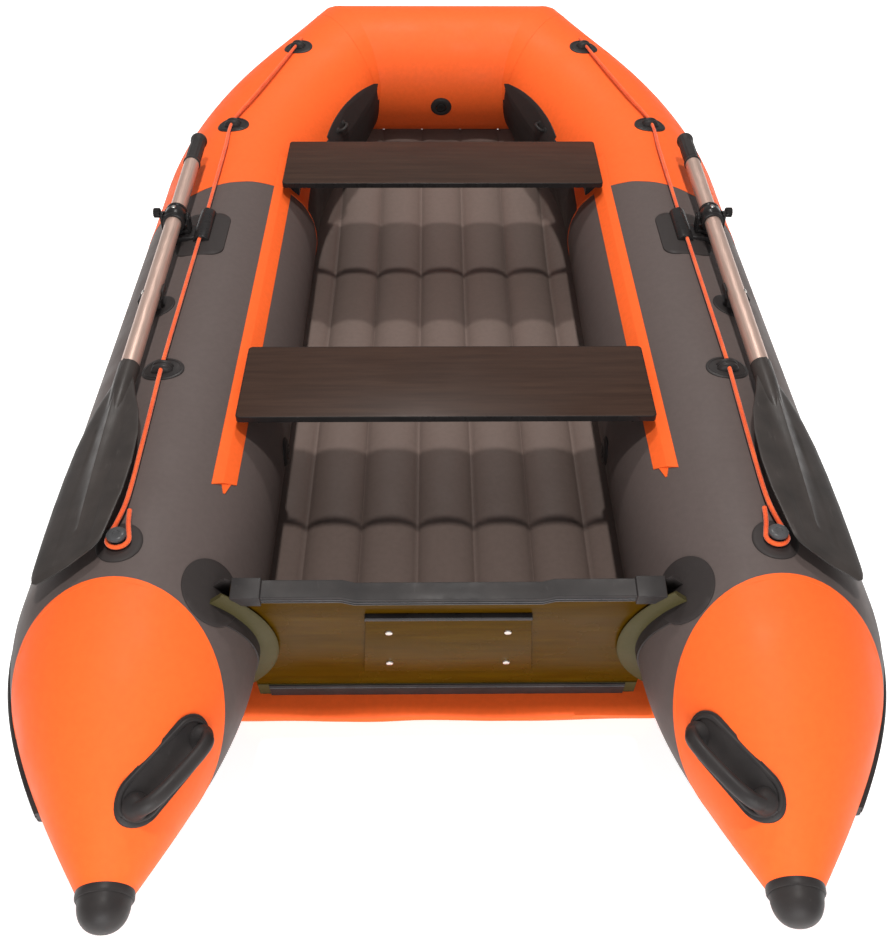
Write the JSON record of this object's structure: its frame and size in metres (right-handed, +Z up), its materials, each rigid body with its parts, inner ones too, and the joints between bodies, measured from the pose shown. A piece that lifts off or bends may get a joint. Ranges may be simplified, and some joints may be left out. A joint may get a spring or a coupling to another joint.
{
  "type": "inflatable boat",
  "caption": "U-shaped inflatable boat with conical tails, raked transom, inflatable bottom, sliding bench seats, oars in rowlocks and grab ropes",
  "frame": {"origin": "on the ground under the middle of the boat, where its flat underside rests", "axes": "+X to starboard, +Y to the bow, +Z up"},
  "size_m": [1.4666, 2.7046, 0.559],
  "materials": {
    "orange_pvc": "satin",
    "grey_pvc": "satin",
    "dark_pvc": "satin",
    "black_rubber": "satin",
    "black_plastic": "satin",
    "blade_plastic": "satin",
    "bench_board": "satin",
    "lacquered_plywood": "gloss",
    "aluminium_tube": "satin",
    "steel_strip": "satin",
    "orange_rope": "matte"
  },
  "bodies": {
    "hull": {"bow_tube": "orange_pvc", "bow_valve": "black_plastic", "inflatable_bottom": "grey_pvc", "motor_plate": "lacquered_plywood", "motor_plate_strip": "steel_strip", "port_bow_loop": "dark_pvc", "port_grab_rope": "orange_rope", "port_oar_rest": "black_rubber", "port_rope_holder_1": "black_rubber", "port_rope_holder_2": "black_rubber", "port_rope_holder_3": "black_rubber", "port_rowlock_base": "black_rubber", "port_rubbing_strake": "black_rubber", "port_seat_rail": "orange_pvc", "port_side_tube": "grey_pvc", "port_stern_handle": "black_rubber", "port_tail_anchor": "black_rubber", "port_tail_cap": "black_rubber", "port_tail_cone": "orange_pvc", "port_transom_holder": "dark_pvc", "port_valve": "black_plastic", "starboard_bow_loop": "dark_pvc", "starboard_grab_rope": "orange_rope", "starboard_oar_rest": "black_rubber", "starboard_rope_holder_1": "black_rubber", "starboard_rope_holder_2": "black_rubber", "starboard_rope_holder_3": "black_rubber", "starboard_rowlock_base": "black_rubber", "starboard_rubbing_strake": "black_rubber", "starboard_seat_rail": "orange_pvc", "starboard_side_tube": "grey_pvc", "starboard_stern_handle": "black_rubber", "starboard_tail_anchor": "black_rubber", "starboard_tail_cap": "black_rubber", "starboard_tail_cone": "orange_pvc", "starboard_transom_holder": "dark_pvc", "starboard_valve": "black_plastic", "transom_board": "lacquered_plywood", "transom_foot_profile": "black_rubber", "transom_skirt": "orange_pvc", "transom_top_trim": "black_rubber"},
    "rear_seat": {"rear_bench": "bench_board", "rear_bench_port_slide": "black_plastic", "rear_bench_starboard_slide": "black_plastic"},
    "front_seat": {"front_bench": "bench_board", "front_bench_port_slide": "black_plastic", "front_bench_starboard_slide": "black_plastic"},
    "bow_valve_plug": {"bow_valve_cap": "black_plastic"},
    "port_yoke": {"port_rowlock_swivel": "black_plastic"},
    "port_oar": {"port_oar_collar": "black_plastic", "port_oar_grip": "black_rubber", "port_oar_shaft": "aluminium_tube", "port_oar_blade": "blade_plastic"},
    "port_clamp_screw": {"port_thumbscrew": "black_plastic"},
    "starboard_yoke": {"starboard_rowlock_swivel": "black_plastic"},
    "starboard_oar": {"starboard_oar_collar": "black_plastic", "starboard_oar_grip": "black_rubber", "starboard_oar_shaft": "aluminium_tube", "starboard_oar_blade": "blade_plastic"},
    "starboard_clamp_screw": {"starboard_thumbscrew": "black_plastic"}
  },
  "joints": [
    {"name": "rear_bench_slide", "type": "slide", "parent": "hull", "child": "rear_seat", "axis": [0, 1, 0], "range_m": [-0.12, 0.2]},
    {"name": "front_bench_slide", "type": "slide", "parent": "hull", "child": "front_seat", "axis": [0, 1, 0], "range_m": [-0.25, 0]},
    {"name": "bow_valve_cap_turn", "type": "hinge", "parent": "hull", "child": "bow_valve_plug", "pos_m": [0, 1.00317, 0.34404], "axis": [0, -0.9701, -0.2425], "range_deg": [-90, 90]},
    {"name": "starboard_oar_swing", "type": "hinge", "parent": "hull", "child": "starboard_yoke", "pos_m": [0.595, 0.12, 0.47], "axis": [0, 0, 1], "range_deg": [0, 100]},
    {"name": "starboard_oar_tilt", "type": "hinge", "parent": "starboard_yoke", "child": "starboard_oar", "pos_m": [0.595, 0.12, 0.5], "axis": [-1, 0, 0], "range_deg": [0, 3]},
    {"name": "starboard_clamp_screw_turn", "type": "hinge", "parent": "starboard_oar", "child": "starboard_clamp_screw", "pos_m": [0.638, 0.138, 0.501], "axis": [1, 0, 0], "range_deg": [-180, 180]},
    {"name": "port_oar_swing", "type": "hinge", "parent": "hull", "child": "port_yoke", "pos_m": [-0.595, 0.12, 0.47], "axis": [0, 0, -1], "range_deg": [0, 100]},
    {"name": "port_oar_tilt", "type": "hinge", "parent": "port_yoke", "child": "port_oar", "pos_m": [-0.595, 0.12, 0.5], "axis": [-1, 0, 0], "range_deg": [0, 3]},
    {"name": "port_clamp_screw_turn", "type": "hinge", "parent": "port_oar", "child": "port_clamp_screw", "pos_m": [-0.638, 0.138, 0.501], "axis": [1, 0, 0], "range_deg": [-180, 180]}
  ]
}
